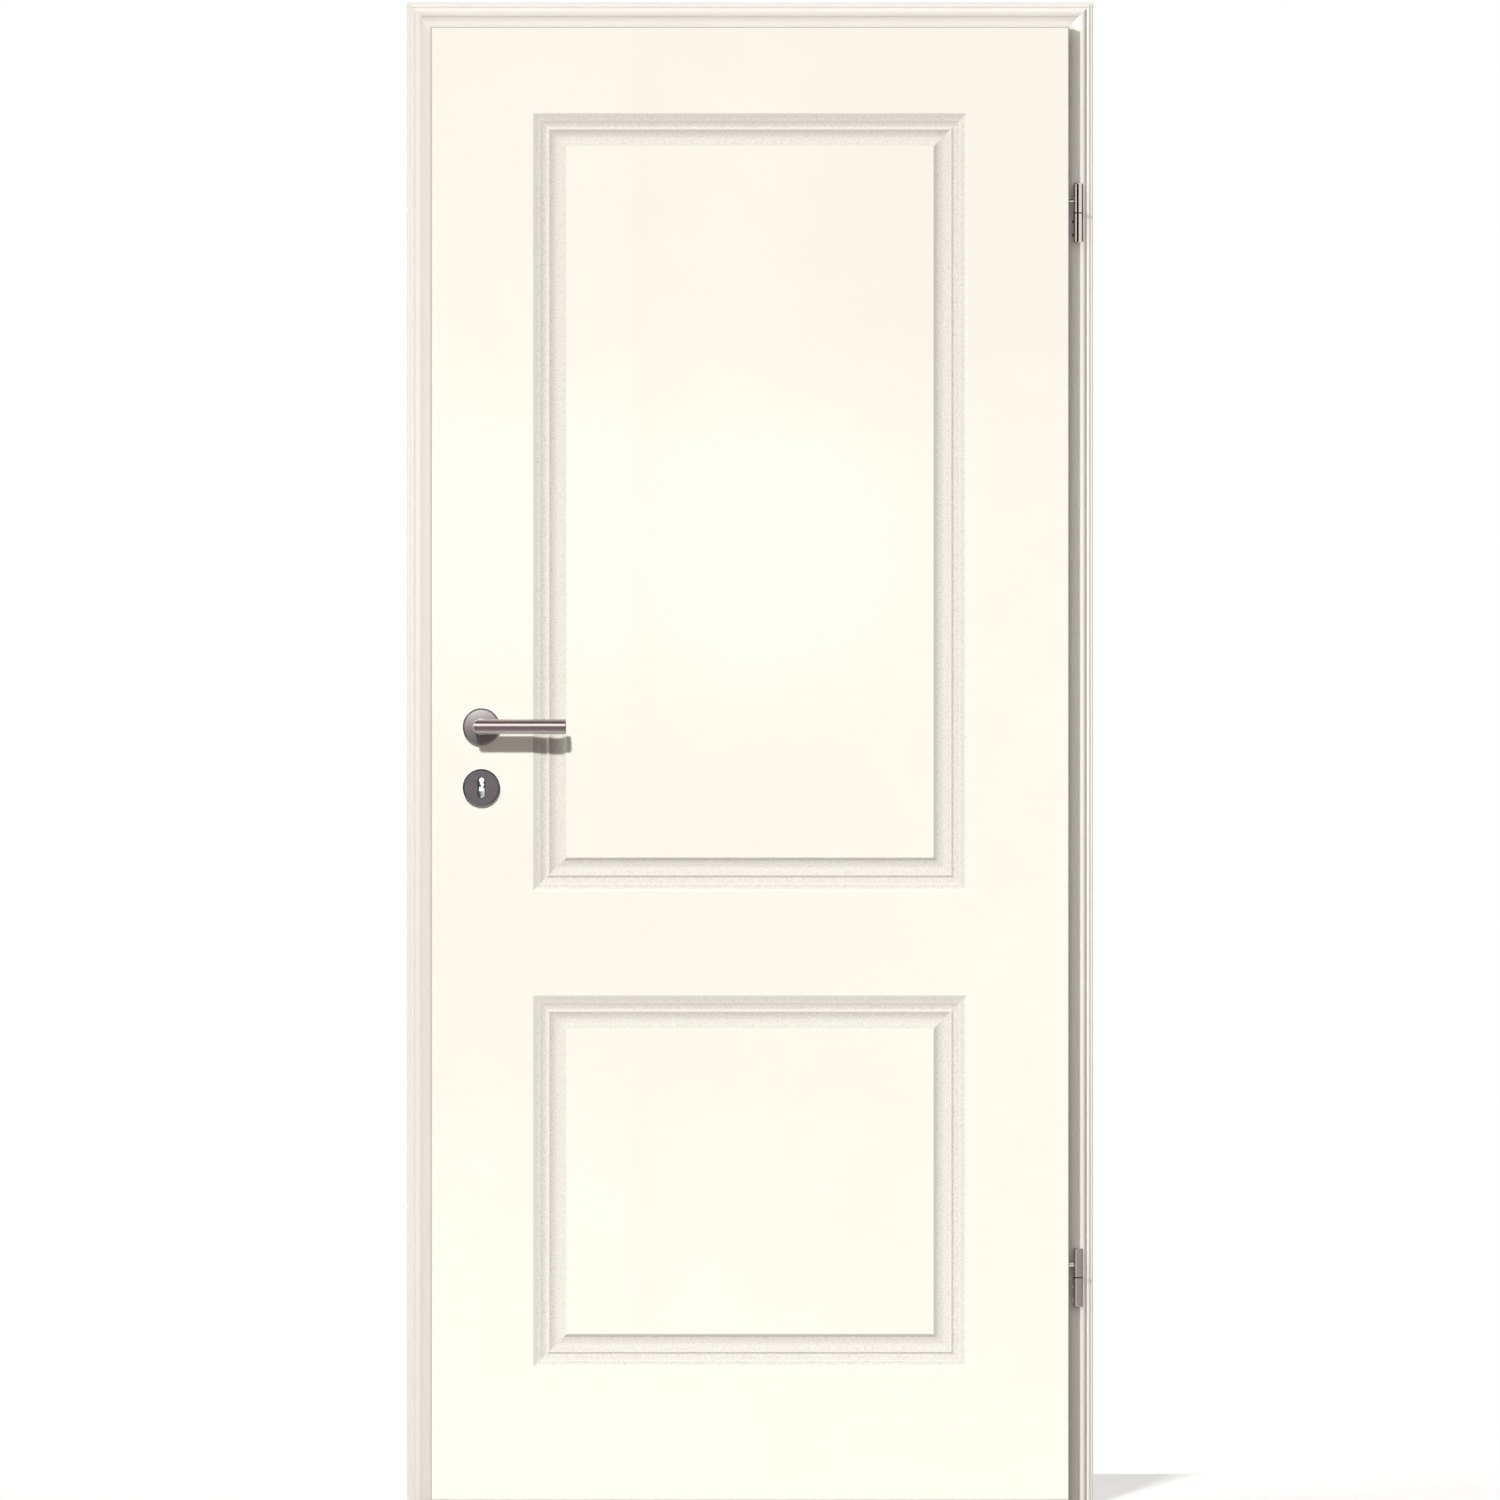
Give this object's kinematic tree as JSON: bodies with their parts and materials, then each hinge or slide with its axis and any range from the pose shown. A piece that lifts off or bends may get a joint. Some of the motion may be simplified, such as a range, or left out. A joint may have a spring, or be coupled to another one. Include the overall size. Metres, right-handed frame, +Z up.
{
  "type": "interior door",
  "caption": "White lacquered interior door: rebated leaf with two moulded panels, lever handles and warded keyhole, hung on pin hinges in a wrap-round frame with profiled casings.",
  "frame": {"origin": "on the wall side of the hinge jamb, at mid wall thickness and floor level", "axes": "+Z up; +X from the latch side to the hinge side, out of the hinge jamb's wall side; -Y the side the leaf opens to"},
  "size_m": [0.925, 0.2585, 2.026],
  "materials": {
    "white_lacquer": "satin white lacquer on wood fibre board",
    "white_seal": "matt",
    "raw_timber": "sawn, unpainted",
    "chipboard": "raw",
    "stainless_steel": "satin",
    "brushed_stainless": "finely brushed",
    "satin_nickel": "satin nickel plate",
    "zinc_plated_steel": "zinc plated"
  },
  "bodies": {
    "frame": {"front_casing_latch_side": "white_lacquer", "front_casing_hinge_side": "white_lacquer", "front_casing_head": "white_lacquer", "back_casing_latch_side": "white_lacquer", "back_casing_hinge_side": "white_lacquer", "back_casing_head": "white_lacquer", "latch_jamb": "white_lacquer", "hinge_jamb": "white_lacquer", "head_jamb": "white_lacquer", "seal_latch_side": "white_seal", "seal_hinge_side": "white_seal", "seal_head": "white_seal", "strike_plate": "stainless_steel", "upper_hinge_frame_part": "satin_nickel", "lower_hinge_frame_part": "satin_nickel"},
    "leaf": {"front_face_board": "white_lacquer", "back_face_board": "white_lacquer", "latch_stile": "white_lacquer", "hinge_stile": "white_lacquer", "top_rail": "white_lacquer", "bottom_rail": "raw_timber", "leaf_core": "chipboard", "lock_case": "zinc_plated_steel", "lock_forend": "stainless_steel", "latch_bolt": "zinc_plated_steel", "dead_bolt": "zinc_plated_steel", "front_lever_rose": "brushed_stainless", "back_lever_rose": "brushed_stainless", "front_key_rose": "brushed_stainless", "back_key_rose": "brushed_stainless", "upper_hinge_leaf_part": "satin_nickel", "lower_hinge_leaf_part": "satin_nickel"},
    "levers": {"front_lever": "brushed_stainless", "back_lever": "brushed_stainless", "spindle": "zinc_plated_steel"}
  },
  "joints": [
    {"name": "door_swing", "type": "hinge", "parent": "frame", "child": "leaf", "pos_m": [0.015, -0.09975, 1.023], "axis": [0, 0, 1], "range_deg": [0, 160]},
    {"name": "lever_turn", "type": "hinge", "parent": "leaf", "child": "levers", "pos_m": [-0.7895, -0.1065, 1.049], "axis": [0, 1, 0], "range_deg": [0, 40], "stiffness_Nm_per_rad": 2, "springref_deg": -22.92}
  ]
}
